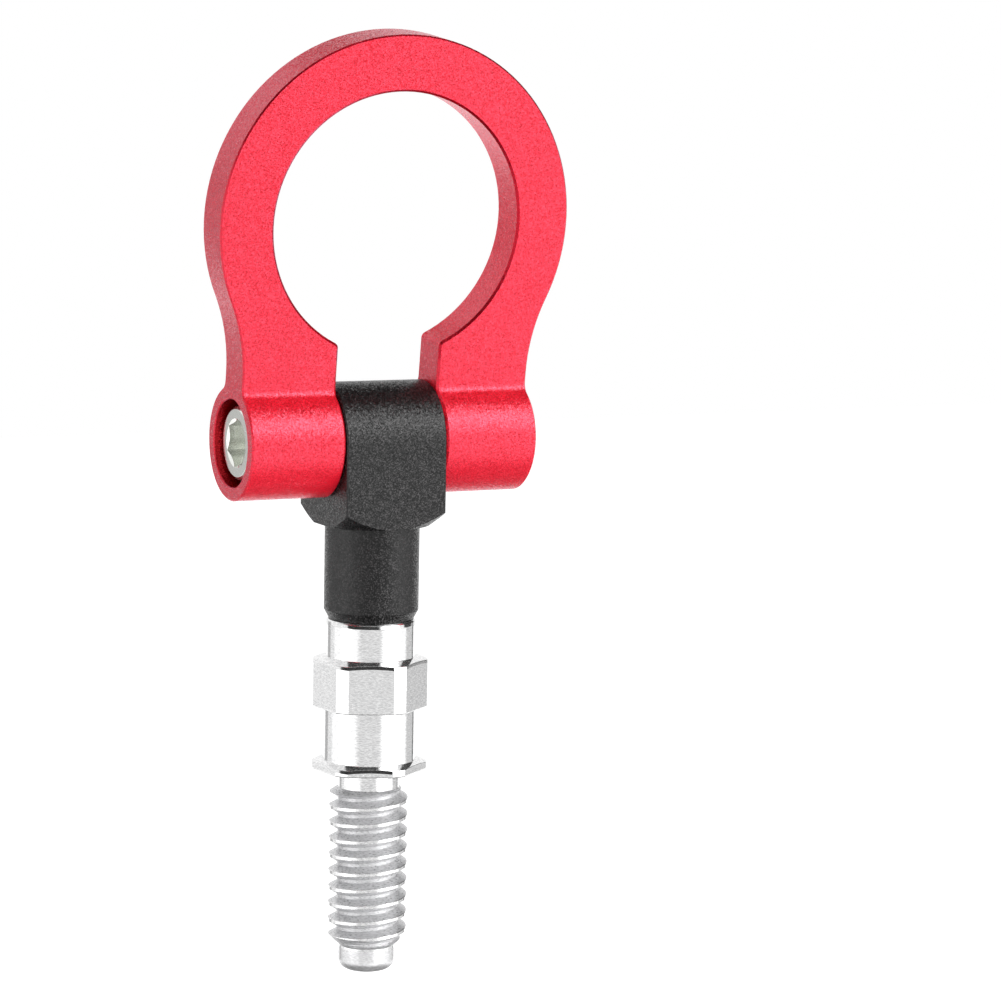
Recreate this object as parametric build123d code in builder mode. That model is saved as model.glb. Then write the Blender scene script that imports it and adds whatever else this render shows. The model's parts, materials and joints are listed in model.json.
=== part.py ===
"""Folding tow eye: a ring that swings on a cross bolt, the block that holds the bolt, and a screw-in stud.

Millimetres and degrees. Z runs up the stud towards the ring, with its zero at the flange's seat, and X runs
along the cross bolt. At rest the ring leans a little to the front, which is -Y.
"""

import os
from math import cos, hypot, radians, sin, sqrt, tan

from build123d import *

# Ring, and the two barrels at the feet of its legs
ring_outer_radius = 36.75
ring_hole_radius = 25.8
ring_centre_rise = 43.4
ring_thickness = 9.0
ring_lean = 7.4
leg_straight = 1.7
hole_corner_radius = 1.2
barrel_radius = 11.25
barrel_span = 60.8
crease_radius = 2.2
rim_chamfer = 0.3
hole_chamfer = 0.45

# Pivot bolt and the holes it sits in
bolt_radius = 4.0
bolt_head_radius = 7.2
bolt_head_height = 8.0
bolt_head_recess = 1.2
bolt_end_recess = 1.0
bolt_edge_chamfer = 0.6
socket_width = 8.4
socket_depth = 5.0
socket_turn = -8.0
socket_countersink_slope = 30.0
counterbore_chamfer = 0.3
tapped_mouth_chamfer = 0.8
tapped_mouth_angle = 90.0

# Pivot block with its round neck
block_width = 21.3
block_radius = 11.4
block_drop = 16.85
block_edge_chamfer = 0.25
corner_cone_radius = 11.5
corner_cone_slope = 37.0
neck_radius = 9.4
neck_length = 19.0
neck_end_radius = 8.4
neck_end_taper = 1.9

# Stud above the flange's seat
flange_height = 1.95
shank_radius = 9.25
shank_length = 10.65
hex_width = 21.0
hex_turned_radius = 11.4
hex_height = 10.15
hex_top_slope = 15.0
hex_turn = -22.8
collar_radius = 8.9
collar_length = 7.5
collar_chamfer = 0.3
spigot_radius = 6.0
spigot_length = 17.0
spigot_chamfer = 1.0

# Stud below the flange's seat
relief_undercut = 0.05
relief_length = 3.75
thread_radius = 7.9
thread_depth = 1.75
thread_root_width = 0.65
thread_root_taper = 0.7
thread_crest_width = 0.63
thread_pitch = 3.3
thread_lead = 3.03
thread_length = 32.2
thread_top_slope = 34.0
thread_end_slope = 45.0
tip_undercut = 0.5
tip_length = 5.0
tip_round = 2.0

# Clearances between the pieces, and how far a cut runs past what it cuts and a ridge sinks into its core
barrel_side_clearance = 0.15
bolt_running_clearance = 0.05
bolt_lug_clearance = 0.2
bolt_head_clearance = 1.35
screwed_clearance = 0.02
spigot_end_clearance = 1.5
overcut = 0.3
ridge_sink = 0.2

# Heights, all counted from the flange's seat
hex_bottom = flange_height + shank_length
hex_top = hex_bottom + hex_height
neck_end = hex_top + collar_length
block_bottom = neck_end + neck_length
pivot_height = block_bottom + block_drop
thread_top = -relief_length
thread_end = thread_top - thread_length

# Radii below the seat, which all follow the thread's
thread_root_radius = thread_radius - thread_depth
relief_radius = thread_root_radius - relief_undercut
tip_radius = thread_root_radius - tip_undercut

# Places along the bolt
barrel_end = barrel_span / 2
lug_gap = block_width + 2 * barrel_side_clearance
bolt_head_face = -barrel_end + bolt_head_recess
bolt_head_seat = bolt_head_face + bolt_head_height
bolt_end = barrel_end - bolt_end_recess
lug_length = barrel_end - lug_gap / 2

# Where the leg's flat faces meet the barrel, and where the round in that corner ends
crease_rise = sqrt(barrel_radius**2 - (ring_thickness / 2) ** 2)
crease_top = sqrt((barrel_radius + crease_radius) ** 2 - (ring_thickness / 2 + crease_radius) ** 2)

# A hollow curve leaves the leg's side upright and runs smoothly into the ring's rim
leg_rise = crease_top + leg_straight
blend_drop = ring_centre_rise - leg_rise
leg_inset = ring_outer_radius - barrel_end
blend_radius = (barrel_end**2 + blend_drop**2 - ring_outer_radius**2) / (2 * leg_inset)
rim_share = ring_outer_radius / (ring_outer_radius + blend_radius)
blend_start = (barrel_end, leg_rise)
blend_finish = ((barrel_end + blend_radius) * rim_share, ring_centre_rise - blend_drop * rim_share)
ring_top = (0, ring_centre_rise + ring_outer_radius)

# Planes at the pivot: the leaning ring, the bolt's cross-section and long section, and the barrels' ends
pivot = (0, 0, pivot_height)
lean = radians(ring_lean)
ring_plane = Plane(pivot, x_dir=(1, 0, 0), z_dir=(0, -cos(lean), -sin(lean)))
cross_plane = Plane(pivot, x_dir=(0, 1, 0), z_dir=(1, 0, 0))
bolt_plane = Plane(pivot, x_dir=(1, 0, 0), z_dir=(0, -1, 0))
head_plane = Plane((bolt_head_face, 0, pivot_height), x_dir=(0, 0, 1), z_dir=(-1, 0, 0))
left_plane = Plane((-barrel_end, 0, pivot_height), x_dir=(0, 0, 1), z_dir=(-1, 0, 0))
right_plane = Plane((barrel_end, 0, pivot_height), x_dir=(0, 0, 1), z_dir=(1, 0, 0))
pivot_axis = Axis(pivot, (1, 0, 0))
ring_axis = Axis(pivot, ring_plane.z_dir)

MATCH = 0.01


def on_ring(shape):
    """A shape's centre as it lies in the ring's own plane."""
    return ring_plane.to_local_coords(shape.center())


def is_outside(edge):
    """Is an edge of the ring on its rim, a leg's outer side or a barrel's outer end?"""
    at_barrel_end = abs(on_ring(edge).X) > barrel_end - MATCH
    return at_barrel_end or on_ring(edge).Y > ring_centre_rise + ring_hole_radius + MATCH


# Ring: a flat plate with a round hole, whose two legs stand on barrels
with BuildPart() as tow_ring:
    with BuildSketch(ring_plane):
        with BuildLine():
            leg_side = Line((barrel_end, 0), blend_start)
            leg_blend = TangentArc(leg_side @ 1, blend_finish, tangent=leg_side % 1)
            TangentArc(leg_blend @ 1, ring_top, tangent=leg_blend % 1)
            mirror(about=Plane.YZ)
            Line((-barrel_end, 0), (barrel_end, 0))
        make_face()
        with Locations((0, ring_centre_rise)):
            Circle(ring_hole_radius, mode=Mode.SUBTRACT)
        with Locations((0, ring_centre_rise / 2)):
            Rectangle(lug_gap, ring_centre_rise, mode=Mode.SUBTRACT)
        gap_sides = vertices().filter_by(lambda v: abs(abs(v.X) - lug_gap / 2) < MATCH)
        fillet(gap_sides.sort_by(Axis.Y)[-2:], radius=hole_corner_radius)
    extrude(amount=ring_thickness / 2, both=True)

    with BuildSketch(cross_plane):
        Circle(barrel_radius)
    extrude(amount=barrel_end, both=True)
    with BuildSketch(cross_plane):
        Circle(barrel_radius + overcut)
    extrude(amount=lug_gap / 2, both=True, mode=Mode.SUBTRACT)

    straight_edges = edges().filter_by(Axis.X)
    creases = straight_edges.filter_by(lambda e: abs(on_ring(e).Y - crease_rise) < MATCH)
    fillet(creases, radius=crease_radius)

    open_faces = faces().filter_by(ring_axis) + faces().filter_by(Axis.X)
    open_edges = ShapeList(set(open_faces.edges()))
    open_edges = open_edges.filter_by(Axis.X, reverse=True).filter_by(ring_axis, reverse=True)
    outside_edges = open_edges.filter_by(is_outside)
    inside_edges = open_edges.filter_by(is_outside, reverse=True)
    chamfer(outside_edges, length=rim_chamfer)
    chamfer(inside_edges, length=hole_chamfer)

    # The left barrel takes the bolt's head, and the right one its thread
    with Locations(left_plane):
        CounterBoreHole(
            radius=bolt_radius + bolt_lug_clearance,
            counter_bore_radius=bolt_head_radius + bolt_head_clearance,
            counter_bore_depth=bolt_head_recess + bolt_head_height,
            depth=lug_length + overcut,
        )
    tapped_radius = bolt_radius + screwed_clearance
    with Locations(right_plane):
        CounterSinkHole(
            radius=tapped_radius,
            counter_sink_radius=tapped_radius + tapped_mouth_chamfer,
            depth=lug_length + overcut,
            counter_sink_angle=tapped_mouth_angle,
        )
    counterbore_rim = faces().filter_by(Axis.X).sort_by(Axis.X)[0].inner_wires().edges()
    chamfer(counterbore_rim, length=counterbore_chamfer)

# Bolt: a socket head cap screw, plain where it turns in the block
with BuildPart() as pivot_bolt:
    with BuildSketch(bolt_plane):
        with BuildLine():
            Polyline(
                (bolt_head_face, 0),
                (bolt_head_face, bolt_head_radius - bolt_edge_chamfer),
                (bolt_head_face + bolt_edge_chamfer, bolt_head_radius),
                (bolt_head_seat, bolt_head_radius),
                (bolt_head_seat, bolt_radius),
                (bolt_end - bolt_edge_chamfer, bolt_radius),
                (bolt_end, bolt_radius - bolt_edge_chamfer),
                (bolt_end, 0),
                close=True,
            )
        make_face()
    revolve(axis=pivot_axis)

    with BuildSketch(head_plane):
        RegularPolygon(socket_width / 2, 6, major_radius=False, rotation=socket_turn)
    extrude(amount=-socket_depth, mode=Mode.SUBTRACT)
    countersink_radius = socket_width / sqrt(3)
    countersink_depth = countersink_radius * tan(radians(socket_countersink_slope))
    with BuildSketch(bolt_plane):
        with BuildLine():
            Polyline(
                (bolt_head_face, 0),
                (bolt_head_face, countersink_radius),
                (bolt_head_face + countersink_depth, 0),
                close=True,
            )
        make_face()
    revolve(axis=pivot_axis, mode=Mode.SUBTRACT)

# Block: round-topped about the pivot, with its lower corners turned off and a round neck below
with BuildPart() as pivot_block:
    with BuildSketch(cross_plane):
        Circle(block_radius)
        Rectangle(2 * block_radius, block_drop, align=(Align.CENTER, Align.MAX))
    extrude(amount=block_width / 2, both=True)
    side_outline = faces().filter_by(Axis.X).edges()
    chamfer(side_outline.filter_by(Axis.Y, reverse=True), length=block_edge_chamfer)

    corner_reach = hypot(block_width / 2, block_radius) + overcut
    corner_rise = (corner_reach - corner_cone_radius) * tan(radians(corner_cone_slope))
    with BuildSketch(Plane.XZ):
        with BuildLine():
            Polyline(
                (corner_cone_radius, block_bottom),
                (corner_reach, block_bottom),
                (corner_reach, block_bottom + corner_rise),
                close=True,
            )
        make_face()
    revolve(axis=Axis.Z, mode=Mode.SUBTRACT)

    with BuildSketch(Plane.XZ):
        with BuildLine():
            Polyline(
                (0, neck_end),
                (neck_end_radius, neck_end),
                (neck_radius, neck_end + neck_end_taper),
                (neck_radius, block_bottom),
                (0, block_bottom),
                close=True,
            )
        make_face()
    revolve(axis=Axis.Z)

    with Locations(cross_plane):
        Hole(bolt_radius + bolt_running_clearance)
    with BuildSketch(Plane.XY.offset(neck_end)):
        Circle(spigot_radius + screwed_clearance)
    extrude(amount=spigot_length + spigot_end_clearance, mode=Mode.SUBTRACT)

# Thread: one right-handed ridge that winds up the stud, with a cone turned off it at either end
with BuildPart() as thread_ridge:
    flank_run = (thread_pitch - thread_root_width - thread_crest_width) / 2
    foot_radius = thread_root_radius - ridge_sink
    foot_run = flank_run * (thread_depth + ridge_sink) / thread_depth
    half_crest = thread_crest_width / 2
    half_foot = half_crest + foot_run
    ridge_start = thread_end - thread_lead
    ridge_length = thread_length + 2 * thread_lead
    with BuildLine() as ridge_path:
        Helix(thread_pitch, ridge_length, foot_radius, center=(0, 0, ridge_start))
    with BuildSketch(Plane.XZ):
        with BuildLine():
            Polyline(
                (foot_radius, ridge_start - half_foot),
                (thread_radius, ridge_start - half_crest),
                (thread_radius, ridge_start + half_crest),
                (foot_radius, ridge_start + half_foot),
                close=True,
            )
        make_face()
    sweep(path=ridge_path.wire(), is_frenet=True)

    cone_reach = thread_radius + overcut
    top_cone_drop = (cone_reach - relief_radius) * tan(radians(thread_top_slope))
    end_cone_rise = (cone_reach - tip_radius) * tan(radians(thread_end_slope))
    with BuildSketch(Plane.XZ):
        with BuildLine():
            Polyline(
                (0, thread_top),
                (relief_radius, thread_top),
                (cone_reach, thread_top - top_cone_drop),
                (cone_reach, thread_end + end_cone_rise),
                (tip_radius, thread_end),
                (0, thread_end),
                close=True,
            )
        make_face()
    revolve(axis=Axis.Z, mode=Mode.INTERSECT)

# Stud: turned from hexagon bar, with its spigot in the neck and its thread below
with BuildPart() as threaded_stud:
    with BuildSketch(Plane.YZ):
        with BuildLine():
            Polyline(
                (0, neck_end + spigot_length),
                (spigot_radius - spigot_chamfer, neck_end + spigot_length),
                (spigot_radius, neck_end + spigot_length - spigot_chamfer),
                (spigot_radius, neck_end),
                (collar_radius - collar_chamfer, neck_end),
                (collar_radius, neck_end - collar_chamfer),
                (collar_radius, hex_bottom),
                (shank_radius, hex_bottom),
                (shank_radius, 0),
                (relief_radius, 0),
                (relief_radius, thread_top),
                (thread_root_radius, thread_top),
                (thread_root_radius, thread_end + thread_root_taper),
                (tip_radius, thread_end),
                (tip_radius, thread_end - tip_length),
                (0, thread_end - tip_length),
                close=True,
            )
        make_face()
    revolve(axis=Axis.Z)
    fillet(edges().sort_by(Axis.Z)[0], radius=tip_round)
    add(thread_ridge.part)

    # The wrench hexagon and the flange, each with a shallow cone on top
    for bottom, top, boss_radius in (
        (hex_bottom, hex_top, collar_radius),
        (0, flange_height, shank_radius),
    ):
        with BuildSketch(Plane.XY.offset(bottom)):
            RegularPolygon(hex_width / 2, 6, major_radius=False, rotation=hex_turn)
            Circle(hex_turned_radius, mode=Mode.INTERSECT)
        extrude(amount=top - bottom)
        hex_reach = hex_turned_radius + overcut
        cone_drop = (hex_reach - boss_radius) * tan(radians(hex_top_slope))
        with BuildSketch(Plane.XZ):
            with BuildLine():
                Polyline(
                    (boss_radius, top),
                    (hex_reach, top),
                    (hex_reach, top - cone_drop),
                    close=True,
                )
            make_face()
        revolve(axis=Axis.Z, mode=Mode.SUBTRACT)

os.makedirs("parts", exist_ok=True)
pieces = {
    "tow_ring": tow_ring,
    "pivot_bolt": pivot_bolt,
    "pivot_block": pivot_block,
    "threaded_stud": threaded_stud,
}
for name, piece in pieces.items():
    piece.part.label = name
    export_step(piece.part, f"parts/{name}.step")
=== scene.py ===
"""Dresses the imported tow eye: its four finishes, a white studio around it and the photo's camera."""

import json
from math import cos, radians, sin

import bpy
from mathutils import Matrix, Vector


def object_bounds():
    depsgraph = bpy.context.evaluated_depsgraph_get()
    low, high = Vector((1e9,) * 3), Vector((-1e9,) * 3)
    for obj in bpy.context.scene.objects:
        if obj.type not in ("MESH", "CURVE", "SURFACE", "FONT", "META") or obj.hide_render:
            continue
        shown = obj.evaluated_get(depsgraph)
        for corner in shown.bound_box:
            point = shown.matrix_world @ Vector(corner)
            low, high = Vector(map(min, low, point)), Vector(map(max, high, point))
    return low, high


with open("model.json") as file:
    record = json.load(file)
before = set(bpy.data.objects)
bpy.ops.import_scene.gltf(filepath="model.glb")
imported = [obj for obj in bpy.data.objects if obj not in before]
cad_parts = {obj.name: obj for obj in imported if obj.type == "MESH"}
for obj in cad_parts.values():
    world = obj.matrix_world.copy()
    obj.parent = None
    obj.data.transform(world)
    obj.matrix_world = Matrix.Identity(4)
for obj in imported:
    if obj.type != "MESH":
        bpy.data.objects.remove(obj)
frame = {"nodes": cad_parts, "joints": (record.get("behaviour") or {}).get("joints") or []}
cad_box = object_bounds()

# The camera as fitted to the photo, in metres and degrees, counted from the ring's pivot
PIVOT = Vector(frame["joints"][0]["pos_m"])
CAMERA_BACK = (-0.27534, -0.60216, 0.07459)
CAMERA_AZIMUTH = 26.76
CAMERA_ELEVATION = 7.448
CAMERA_ROLL = 1.093
CAMERA_LENS = 121.41
CAMERA_SENSOR = 36.0

# The ring's flat plate at rest: the way its front faces, the way up from its barrels, and its hole in metres
PLATE_FRONT = (0.0, -0.991671, -0.128796)
PLATE_UP = (0.0, -0.128796, 0.991671)
HOLE_CENTRE = (0.0, -0.00559, 0.109139)

# Cells of the blasted grain along one metre
RED_FACETS = 6000
BLACK_FACETS = 5400

# Fades on the ring in mm, each nought at its first value and full at its second: distance from the bolt's
# axis, place along that axis, height above it up the plate, and distance from the hole's centre
COUNTERBORE_WALL = (8.7, 8.6)
COUNTERBORE_SIDE = (-20.0, -21.0)
ABOVE_BARRELS = (12.0, 12.6)
AROUND_HOLE = (30.0, 29.0)

# How plain the grain becomes on the ring's undersides, the shade it settles at, and how dark the painted
# reflections on its chamfers are
UNDERSIDE_PLAINNESS = 0.75
UNDERSIDE_SHADE = 0.75
CHAMFER_DARKNESS = 0.9

# Fades on the stud in mm: heights above the flange's seat for the thread and the tip, and radii for the rest
THREAD_TOP = (-3.6, -3.9)
THREAD_END = (-36.1, -35.7)
TIP = (-36.3, -36.6)
UNDER_CREST = (7.87, 7.7)
OUTSIDE_SHANK = (9.5, 9.8)
TIP_DULLNESS = 0.6

# Rolled upper edges of hexagon, flange and collar in mm: radius of the boss inside, height beside it, and how
# much the top falls for each mm outwards. The two fades are counted from the top and the lean is a slope.
CONE_FALL = 0.268
ROLLED_EDGES = ((8.9, 22.75, CONE_FALL), (9.25, 1.95, CONE_FALL), (8.9, 29.95, 0.0))
ROLL_START = (-0.85, -0.6)
ROLL_STOP = (0.06, 0.02)
ROLL_LEAN = 0.52

# Broken lower edges of hexagon and flange by their heights in mm, with fades and lean as above
BROKEN_EDGES = (12.6, 0.0)
BREAK_START = (-0.06, -0.02)
BREAK_STOP = (0.24, 0.12)
BREAK_LEAN = 0.4

# Studio, in metres, with the strength of the plain light that comes from all round
MM = 0.001
FLOOR_DROP = 0.25
FLOOR_SIZE = 6.0
FLOOR_GREY = 0.86
FLOOR_GLOW = 0.8
AMBIENT = 0.47
MIDDLE = (cad_box[0] + cad_box[1]) / 2


class Nodes:
    """Adds shader nodes to one tree and joins them by name."""

    def __init__(self, tree):
        self.tree = tree
        tree.nodes.clear()

    def add(self, kind, inputs=None, **settings):
        node = self.tree.nodes.new("ShaderNode" + kind)
        for name, value in settings.items():
            setattr(node, name, value)
        for name, value in (inputs or {}).items():
            self.feed(value, node.inputs[name])
        return node

    def feed(self, value, socket):
        if isinstance(value, bpy.types.NodeSocket):
            self.tree.links.new(value, socket)
        else:
            socket.default_value = value

    def noise(self, place, scale, detail=2.0, roughness=0.5):
        inputs = {"Vector": place, "Scale": scale, "Detail": detail, "Roughness": roughness}
        return self.add("TexNoise", inputs).outputs["Fac"]

    def facets(self, place, scale):
        """A random vector for each small cell of the surface, and one random share from it."""
        cells = self.add("TexVoronoi", {"Vector": place, "Scale": scale}).outputs["Color"]
        return cells, self.part_of(cells, "X")

    def tilt(self, facets, amount):
        """The surface's normal, leaning a different way on each facet."""
        centred = self.vector_math("SUBTRACT", facets, (0.5, 0.5, 0.5))
        lean = self.vector_math("MULTIPLY", centred, (amount, amount, amount))
        normal = self.add("NewGeometry").outputs["Normal"]
        return self.unit(self.vector_math("ADD", normal, lean))

    def remap(self, value, low, high, to_low, to_high):
        inputs = {"Value": value, "From Min": low, "From Max": high, "To Min": to_low, "To Max": to_high}
        return self.add("MapRange", inputs).outputs["Result"]

    def mix_colour(self, share, first, second):
        node = self.add("Mix", data_type="RGBA")
        self.feed(share, node.inputs["Factor"])
        self.feed(first, node.inputs["A"])
        self.feed(second, node.inputs["B"])
        return next(s for s in node.outputs if s.enabled and s.type == "RGBA")

    def math(self, operation, first, second):
        node = self.add("Math", operation=operation)
        self.feed(first, node.inputs[0])
        self.feed(second, node.inputs[1])
        return node.outputs[0]

    def vector_math(self, operation, first, second):
        node = self.add("VectorMath", operation=operation)
        self.feed(first, node.inputs[0])
        self.feed(second, node.inputs[1])
        return node.outputs["Vector"]

    def upright(self, normal):
        """How far a normal points straight up or down."""
        return self.math("ABSOLUTE", self.part_of(normal, "Z"), 0.0)

    def part_of(self, vector, side):
        """A vector's X, Y or Z."""
        return self.add("SeparateXYZ", {"Vector": vector}).outputs[side]

    def along(self, vector, direction):
        """How far a vector reaches along a direction."""
        node = self.add("VectorMath", {0: vector, 1: direction}, operation="DOT_PRODUCT")
        return node.outputs["Value"]

    def length(self, vector):
        return self.add("VectorMath", {0: vector}, operation="LENGTH").outputs["Value"]

    def unit(self, vector):
        return self.add("VectorMath", {0: vector}, operation="NORMALIZE").outputs["Vector"]

    def product(self, first, *others):
        for other in others:
            first = self.math("MULTIPLY", first, other)
        return first

    def fade(self, value, limits, full=1.0):
        """Nought at the first of two limits in mm, and full at the second."""
        start, finish = limits
        return self.remap(value, start * MM, finish * MM, 0.0, full)

    def edge(self, height, start, stop):
        """One between two fades, and nought beyond them."""
        return self.product(self.fade(height, start), self.fade(height, stop))

    def worn_edges(self, radius):
        """The surface's normal, turned gradually over each sharp edge."""
        return self.add("Bevel", {"Radius": radius}, samples=8).outputs["Normal"]

    def bump(self, height, strength, distance, normal=None):
        inputs = {"Height": height, "Strength": strength, "Distance": distance}
        if normal is not None:
            inputs["Normal"] = normal
        return self.add("Bump", inputs).outputs["Normal"]


def new_material(name):
    material = bpy.data.materials.new(name)
    material.use_nodes = True
    return material, Nodes(material.node_tree)


def close(nodes, shader):
    output = nodes.add("OutputMaterial")
    nodes.tree.links.new(shader, output.inputs["Surface"])


def colour(red, green, blue):
    return (red, green, blue, 1.0)


def red_anodised():
    """Bead-blasted aluminium under a red dyed film: fine facets, each with its own lean and shade."""
    material, nodes = new_material("red_anodised")
    coords = nodes.add("TexCoord").outputs
    place = coords["Object"]
    outward = coords["Normal"]

    # The grain, which grows plain on undersides, as on the lower halves of the barrels in the photo
    facets, share = nodes.facets(place, RED_FACETS)
    plain = nodes.remap(nodes.part_of(outward, "Z"), -0.15, -0.5, 0.0, UNDERSIDE_PLAINNESS)
    speck = nodes.remap(share, 0.05, 0.65, 0.0, 1.0)
    grain = nodes.product(speck, nodes.math("SUBTRACT", 1.0, plain))
    shade = nodes.math("ADD", grain, nodes.product(plain, UNDERSIDE_SHADE))
    drift = nodes.noise(place, 60)
    pits = nodes.mix_colour(drift, colour(0.49, 0.001, 0.003), colour(0.55, 0.001, 0.004))
    peaks = nodes.mix_colour(drift, colour(0.90, 0.012, 0.033), colour(0.94, 0.015, 0.038))
    blasted = nodes.mix_colour(shade, pits, peaks)

    # The left barrel's counterbore wall, painted a darker, more metallic red as shade in the recess
    off_pivot = nodes.vector_math("SUBTRACT", place, PIVOT)
    off_axis = nodes.vector_math("MULTIPLY", off_pivot, (0.0, 1.0, 1.0))
    near_axis = nodes.fade(nodes.length(off_axis), COUNTERBORE_WALL)
    to_left = nodes.fade(nodes.part_of(place, "X"), COUNTERBORE_SIDE)
    counterbore_shade = nodes.product(near_axis, to_left)
    dyed_and_bore_shaded = nodes.mix_colour(counterbore_shade, blasted, colour(0.42, 0.001, 0.004))

    # The plate's chamfers, found by their slant between its walls and its faces, carry painted dark
    # reflections. These dark lines follow the hole's rim and the ring's upper outside, and fade where the
    # outside turns down, as in the photo.
    slant = nodes.math("ABSOLUTE", nodes.along(outward, PLATE_FRONT), 0.0)
    off_wall = nodes.remap(slant, 0.35, 0.45, 0.0, 1.0)
    off_face = nodes.remap(slant, 0.85, 0.95, 1.0, 0.0)
    above_barrels = nodes.fade(nodes.along(off_pivot, PLATE_UP), ABOVE_BARRELS)
    upper_outside = nodes.remap(nodes.along(outward, PLATE_UP), -0.05, 0.4, 0.15, CHAMFER_DARKNESS)
    off_hole = nodes.vector_math("SUBTRACT", place, HOLE_CENTRE)
    hole_rim = nodes.fade(nodes.length(off_hole), AROUND_HOLE, CHAMFER_DARKNESS)
    darkness = nodes.math("MAXIMUM", upper_outside, hole_rim)
    chamfer_reflection = nodes.product(off_wall, off_face, above_barrels, darkness)

    # The chamfers' painted dark reflections and the counterbore's painted shade also raise the metallic share
    grain_metal = nodes.remap(shade, 0.0, 1.0, 0.5, 0.0)
    painted_dark_metal = nodes.math("MAXIMUM", nodes.product(chamfer_reflection, 0.8), nodes.product(counterbore_shade, 0.7))
    shader = nodes.add(
        "BsdfPrincipled",
        {
            # Base colour: the dyed grain with the counterbore's painted shade, then the chamfers' painted
            # dark reflections
            "Base Color": nodes.mix_colour(chamfer_reflection, dyed_and_bore_shaded, colour(0.46, 0.004, 0.015)),
            "Metallic": nodes.math("MAXIMUM", grain_metal, painted_dark_metal),
            "Roughness": nodes.remap(shade, 0.0, 1.0, 0.32, 0.21),
            "Specular IOR Level": 0.68,
            "Specular Tint": colour(1.0, 0.70, 1.0),
            "Normal": nodes.tilt(facets, 0.28),
        },
    )
    close(nodes, shader.outputs["BSDF"])
    return material


def black_anodised():
    """Bead-blasted aluminium, dyed black, with bright specks where the blasting left small facets."""
    material, nodes = new_material("black_anodised")
    place = nodes.add("TexCoord").outputs["Object"]
    facets, share = nodes.facets(place, BLACK_FACETS)
    shade = nodes.remap(share, 0.66, 0.90, 0.0, 1.0)
    base = nodes.mix_colour(shade, colour(0.0005, 0.0005, 0.0005), colour(0.045, 0.042, 0.043))
    shader = nodes.add(
        "BsdfPrincipled",
        {
            "Base Color": base,
            "Metallic": 0.0,
            "Roughness": nodes.remap(shade, 0.0, 1.0, 0.34, 0.20),
            "Specular IOR Level": 0.38,
            "Normal": nodes.tilt(facets, 0.38),
        },
    )
    close(nodes, shader.outputs["BSDF"])
    return material


def chromed_steel():
    """Bright plating over the fine rings of the lathe, with softened edges and a duller thread whose grooves
    carry painted shade.
    """
    material, nodes = new_material("chromed_steel")
    coords = nodes.add("TexCoord").outputs
    place = coords["Object"]
    height = nodes.part_of(place, "Z")
    radius = nodes.length(nodes.vector_math("MULTIPLY", place, (1.0, 1.0, 0.0)))

    # The thread is duller below its crests, where painted shade also darkens its grooves, and the tip is
    # duller and darker too
    in_thread = nodes.edge(height, THREAD_TOP, THREAD_END)
    thread_grooves = nodes.product(in_thread, nodes.fade(radius, UNDER_CREST))
    dull_and_darker = nodes.math("MAXIMUM", thread_grooves, nodes.fade(height, TIP, TIP_DULLNESS))

    # Rolled upper edges lean up to mirror the dark cards, and broken lower edges lean down to under_card
    wall = nodes.remap(nodes.upright(coords["Normal"]), 0.5, 0.8, 1.0, 0.0)
    rolled = 0.0
    for boss, top, fall in ROLLED_EDGES:
        drop = nodes.product(nodes.math("SUBTRACT", radius, boss * MM), fall)
        over = nodes.math("ADD", nodes.math("SUBTRACT", height, top * MM), drop)
        rolled = nodes.math("MAXIMUM", rolled, nodes.edge(over, ROLL_START, ROLL_STOP))
    broken = 0.0
    for bottom in BROKEN_EDGES:
        over = nodes.math("SUBTRACT", height, bottom * MM)
        broken = nodes.math("MAXIMUM", broken, nodes.edge(over, BREAK_START, BREAK_STOP))
    raised = nodes.product(rolled, ROLL_LEAN)
    lowered = nodes.product(broken, nodes.fade(radius, OUTSIDE_SHANK), BREAK_LEAN)
    lift = nodes.product(nodes.math("SUBTRACT", raised, lowered), wall)
    upward = nodes.add("CombineXYZ", {"Z": lift}).outputs["Vector"]
    normal = nodes.unit(nodes.vector_math("ADD", nodes.worn_edges(0.12 * MM), upward))

    # The lathe's rings, much finer along the stud's axis than around it
    lathe_scale = (1500.0, 1500.0, 7000.0)
    stretched = nodes.add("Mapping", {"Vector": place, "Scale": lathe_scale}).outputs["Vector"]
    rings = nodes.noise(stretched, 1.0, detail=1.0)
    bright = nodes.remap(rings, 0.35, 0.65, 0.0, 1.0)
    polished = nodes.mix_colour(bright, colour(0.72, 0.72, 0.725), colour(1.0, 1.0, 1.0))
    dull_darker_colour = nodes.mix_colour(bright, colour(0.54, 0.54, 0.55), colour(0.74, 0.74, 0.75))
    polish = nodes.remap(rings, 0.3, 0.7, 0.07, 0.13)
    shader = nodes.add(
        "BsdfPrincipled",
        {
            "Base Color": nodes.mix_colour(dull_and_darker, polished, dull_darker_colour),
            "Metallic": nodes.remap(dull_and_darker, 0.0, 1.0, 0.96, 0.5),
            "Roughness": nodes.math("ADD", polish, nodes.product(dull_and_darker, 0.2)),
            "Normal": nodes.bump(rings, 0.3, 0.01 * MM, normal),
        },
    )
    close(nodes, shader.outputs["BSDF"])
    return material


def plated_steel():
    """Satin plating on the cap screw, a little green against the chrome."""
    material, nodes = new_material("plated_steel")
    place = nodes.add("TexCoord").outputs["Object"]
    grain = nodes.noise(place, 2500, detail=3.0)
    base = nodes.mix_colour(grain, colour(0.84, 0.86, 0.81), colour(0.98, 0.99, 0.95))
    shader = nodes.add(
        "BsdfPrincipled",
        {
            "Base Color": base,
            "Metallic": 0.9,
            "Roughness": nodes.remap(grain, 0.3, 0.7, 0.10, 0.18),
            "Normal": nodes.bump(grain, 0.1, 0.01 * MM, nodes.worn_edges(0.15 * MM)),
        },
    )
    close(nodes, shader.outputs["BSDF"])
    return material


def seen_white(nodes):
    """One where a ray comes straight from the camera or off a mirror, and nought for plain light."""
    path = nodes.add("LightPath").outputs
    direct = nodes.math("MAXIMUM", path["Is Camera Ray"], path["Is Glossy Ray"])
    return nodes.math("MAXIMUM", direct, path["Is Transmission Ray"])


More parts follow.
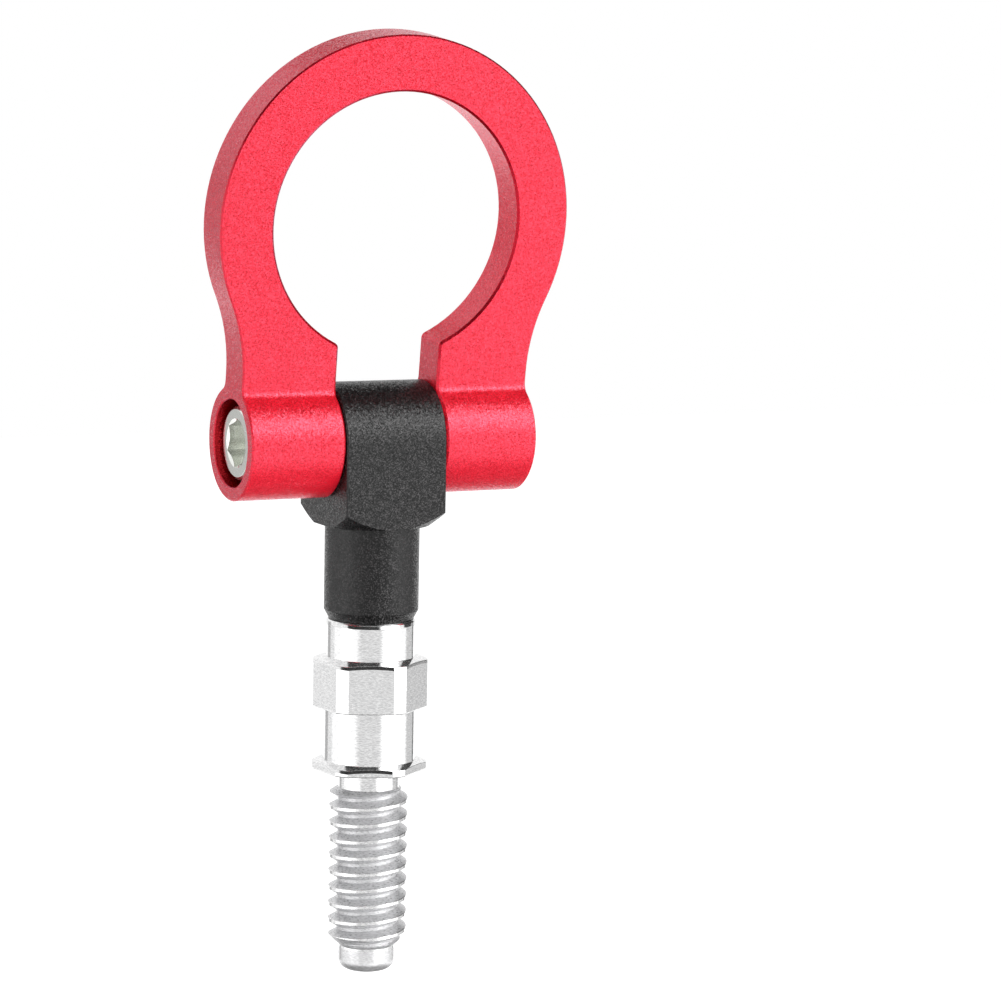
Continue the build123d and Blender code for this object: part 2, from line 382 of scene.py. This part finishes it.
def white_world(ambient):
    """A white room to look at, and a softer one to be lit by."""
    world = bpy.data.worlds.new("studio")
    world.use_nodes = True
    bpy.context.scene.world = world
    nodes = Nodes(world.node_tree)
    strength = nodes.remap(seen_white(nodes), 0.0, 1.0, ambient, 1.0)
    background = nodes.add("Background", {"Color": colour(1.0, 1.0, 1.0), "Strength": strength})
    output = nodes.add("OutputWorld")
    nodes.tree.links.new(background.outputs["Background"], output.inputs["Surface"])


def floor_paint():
    """Pale floor that reads white and still takes the object's shadow."""
    material, nodes = new_material("floor")
    diffuse = nodes.add("BsdfDiffuse", {"Color": colour(FLOOR_GREY, FLOOR_GREY, FLOOR_GREY)})
    glow = nodes.add("Emission", {"Color": colour(1.0, 1.0, 1.0)})
    nodes.feed(nodes.product(seen_white(nodes), FLOOR_GLOW), glow.inputs["Strength"])
    both = nodes.add("AddShader")
    nodes.tree.links.new(diffuse.outputs["BSDF"], both.inputs[0])
    nodes.tree.links.new(glow.outputs["Emission"], both.inputs[1])
    close(nodes, both.outputs["Shader"])
    return material


def card_paint(name, brightness, soft):
    """An even studio card, whose edges fade over the given share of its half width and half height."""
    material, nodes = new_material(name)
    place = nodes.add("TexCoord").outputs["Generated"]
    sides = nodes.add("SeparateXYZ", {"Vector": place}).outputs
    masks = []
    for side in ("X", "Y"):
        from_middle = nodes.math("ABSOLUTE", nodes.math("SUBTRACT", sides[side], 0.5), 0.0)
        limits = {"Value": from_middle, "From Min": 0.5, "From Max": 0.5 - soft / 2}
        fade = nodes.add("MapRange", limits)
        fade.interpolation_type = "SMOOTHSTEP"
        masks.append(fade.outputs["Result"])
    glow = nodes.add("Emission", {"Color": colour(1.0, 1.0, 1.0), "Strength": brightness})
    mix = nodes.add("MixShader")
    nodes.feed(nodes.product(*masks), mix.inputs["Fac"])
    nodes.tree.links.new(nodes.add("BsdfTransparent").outputs["BSDF"], mix.inputs[1])
    nodes.tree.links.new(glow.outputs["Emission"], mix.inputs[2])
    close(nodes, mix.outputs["Shader"])
    return material


def panel(name, width, height, matrix, material):
    """A flat stage panel in its own XY plane, placed by a matrix."""
    mesh = bpy.data.meshes.new(name)
    x, y = width / 2, height / 2
    mesh.from_pydata([(-x, -y, 0), (x, -y, 0), (x, y, 0), (-x, y, 0)], [], [(0, 1, 2, 3)])
    mesh.materials.append(material)
    item = bpy.data.objects.new(name, mesh)
    item.matrix_world = matrix
    bpy.context.scene.collection.objects.link(item)
    return item


def towards(azimuth, elevation):
    """The direction from the object to a place in the studio: azimuth 0 is the front, 90 the right."""
    a, e = radians(azimuth), radians(elevation)
    return Vector((sin(a) * cos(e), -cos(a) * cos(e), sin(e)))


def facing(azimuth, elevation, distance):
    """A place in the studio whose own -Z looks back at the object."""
    back = towards(azimuth, elevation)
    turn = back.to_track_quat("Z", "Y").to_matrix().to_4x4()
    return Matrix.Translation(MIDDLE + back * distance) @ turn


def card(name, azimuth, elevation, distance, width, height, brightness, soft):
    """A card that only mirror rays see: it shapes reflections and leaves the plain light alone."""
    matrix = facing(azimuth, elevation, distance)
    item = panel(name, width, height, matrix, card_paint(name, brightness, soft))
    item.visible_camera = False
    item.visible_diffuse = False
    item.visible_transmission = False
    item.visible_shadow = False


def softbox(name, azimuth, elevation, distance, width, height, power):
    """A lamp for the plain light, which mirror rays don't see."""
    light = bpy.data.lights.new(name, "AREA")
    light.shape = "RECTANGLE"
    light.size = width
    light.size_y = height
    light.energy = power
    item = bpy.data.objects.new(name, light)
    item.matrix_world = facing(azimuth, elevation, distance)
    item.visible_camera = False
    item.visible_glossy = False
    bpy.context.scene.collection.objects.link(item)


def photo_camera():
    """The photo's camera, by its place, its two angles and its roll."""
    data = bpy.data.cameras.new("photo")
    data.lens = CAMERA_LENS
    data.sensor_width = CAMERA_SENSOR
    azimuth, elevation, roll = (radians(a) for a in (CAMERA_AZIMUTH, CAMERA_ELEVATION, CAMERA_ROLL))
    back = Vector((-sin(azimuth) * cos(elevation), -cos(azimuth) * cos(elevation), sin(elevation)))
    level = Vector((cos(azimuth), -sin(azimuth), 0.0))
    upright = back.cross(level)
    right = cos(roll) * level + sin(roll) * upright
    up = cos(roll) * upright - sin(roll) * level
    camera = bpy.data.objects.new("photo", data)
    turn = Matrix((right, up, back)).transposed().to_4x4()
    camera.matrix_world = Matrix.Translation(PIVOT + Vector(CAMERA_BACK)) @ turn
    bpy.context.scene.collection.objects.link(camera)
    bpy.context.scene.camera = camera


FINISHES = {
    "tow_ring": red_anodised,
    "pivot_bolt": plated_steel,
    "pivot_block": black_anodised,
    "threaded_stud": chromed_steel,
}
for node, finish in FINISHES.items():
    mesh = frame["nodes"][node].data
    mesh.materials.clear()
    mesh.materials.append(finish())

floor_height = cad_box[0].z - FLOOR_DROP
panel("floor", FLOOR_SIZE, FLOOR_SIZE, Matrix.Translation((0, 0, floor_height)), floor_paint())
white_world(AMBIENT)

# Lamps: azimuth and elevation in degrees, distance, width and height in metres, power in watts
softbox("key", 5, 30, 1.0, 1.0, 0.7, 5.4)
softbox("low_fill", 5, -45, 0.6, 0.8, 0.5, 6.0)
softbox("back_fill", -168, 10, 0.4, 0.14, 0.2, 0.9)

# What metal mirrors: azimuth, elevation, distance, width, height, brightness, soft share of the edges
card("camera_card", -25, -10, 0.7, 1.08, 0.95, 0.79, 0.5)
card("left_strip", -89, 0, 1.0, 0.75, 0.9, 2.2, 0.6)
card("right_strip", 41, 0, 1.0, 0.75, 0.7, 2.5, 0.6)
card("top_strip", 34, 34, 1.0, 1.0, 0.9, 6.4, 0.8)
card("low_front", 27, -25, 0.9, 1.0, 0.6, 2.1, 0.7)
card("dark_above", -35, 44, 1.5, 3.2, 1.2, 0.01, 0.15)
card("dark_right", 105, 34, 0.9, 0.9, 0.75, 0.02, 0.15)
card("left_edge", -159, -8, 0.8, 0.3, 0.9, 0.5, 0.4)
card("right_edge", 113, -8, 0.8, 0.14, 0.9, 0.1, 0.6)
card("ceiling", 133, 68, 0.95, 1.8, 1.5, 0.10, 0.4)
card("right_card", 95, -5, 0.9, 0.7, 0.8, 0.65, 0.5)
card("left_back_card", -147, -5, 0.9, 0.7, 0.8, 0.9, 0.5)
card("under_card", 0, -90, 0.30, 1.1, 1.1, 0.12, 0.8)

photo_camera()
bpy.context.scene.view_settings.view_transform = "Standard"
